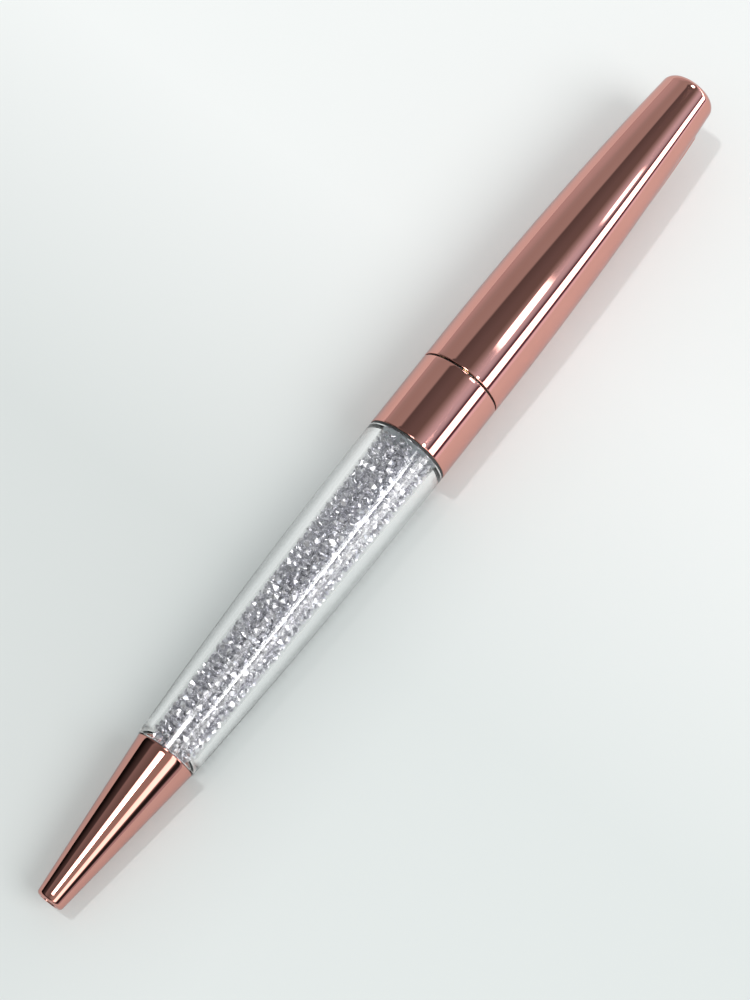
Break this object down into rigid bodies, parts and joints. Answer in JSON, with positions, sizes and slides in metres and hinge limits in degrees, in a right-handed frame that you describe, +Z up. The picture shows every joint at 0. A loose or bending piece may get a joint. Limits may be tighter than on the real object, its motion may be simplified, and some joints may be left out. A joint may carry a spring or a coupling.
{
  "type": "twist-action gel pen",
  "caption": "Slim twist pen: polished metal nose, clear barrel filled with crystals, metal collar, turning cap with pocket clip, and a refill that moves in and out.",
  "frame": {"origin": "centre of the round writing opening at the nose, on the pen's axis", "axes": "+X along the pen's axis from the writing opening to the cap's closed end, +Z up with the pen lying on its side, and the clip low on the -Y side"},
  "size_m": [0.137, 0.0118, 0.0134],
  "materials": {
    "rose_metal": "polished rose-gold plating",
    "clear_acrylic": "clear polished acrylic",
    "crystal": "small cut crystals",
    "clear_seal": "clear plastic",
    "steel": "bright turned steel",
    "refill_metal": "drawn brass",
    "brass": "turned brass",
    "black_plastic": "moulded plastic",
    "white_plastic": "moulded plastic",
    "rubber": "rubber",
    "ink": "wet gel ink",
    "follower_grease": "clear grease"
  },
  "bodies": {
    "barrel": {"nose_cone": "rose_metal", "nose_bush": "black_plastic", "crystal_tube": "clear_acrylic", "lining_tube": "steel", "front_seal": "clear_seal", "crystal_filling": "crystal", "rear_seal": "clear_seal", "tube_gasket": "rubber", "collar": "rose_metal", "thrust_washer": "black_plastic", "guide_tube": "brass", "friction_ring": "rubber", "retaining_ring": "steel"},
    "refill": {"refill_tube": "refill_metal", "refill_point": "steel", "writing_ball": "steel", "gel_ink": "ink", "ink_follower": "follower_grease", "refill_plug": "white_plastic", "carrier": "white_plastic", "cam_pin": "steel"},
    "cap": {"cap_shell": "rose_metal", "cap_liner": "white_plastic", "cam_sleeve": "brass", "clip_block": "white_plastic", "clip_pin": "steel"},
    "clip": {"pocket_clip": "rose_metal"}
  },
  "joints": [
    {"name": "cap_twist", "type": "hinge", "parent": "barrel", "child": "cap", "pos_m": [0.1, 0, 0], "axis": [-1, 0, 0], "range_deg": [0, 180]},
    {"name": "refill_slide", "type": "slide", "parent": "barrel", "child": "refill", "axis": [-1, 0, 0], "range_m": [-0.0002, 0.0058]},
    {"name": "clip_flex", "type": "hinge", "parent": "cap", "child": "clip", "pos_m": [0.1331, -0.00089, -0.00244], "axis": [0, -0.9397, 0.342], "range_deg": [0, 3.5], "stiffness_Nm_per_rad": 0.5}
  ],
  "couplings": [
    {"joint": "refill_slide", "follows": "cap_twist", "m_per_rad": 0.00175}
  ]
}
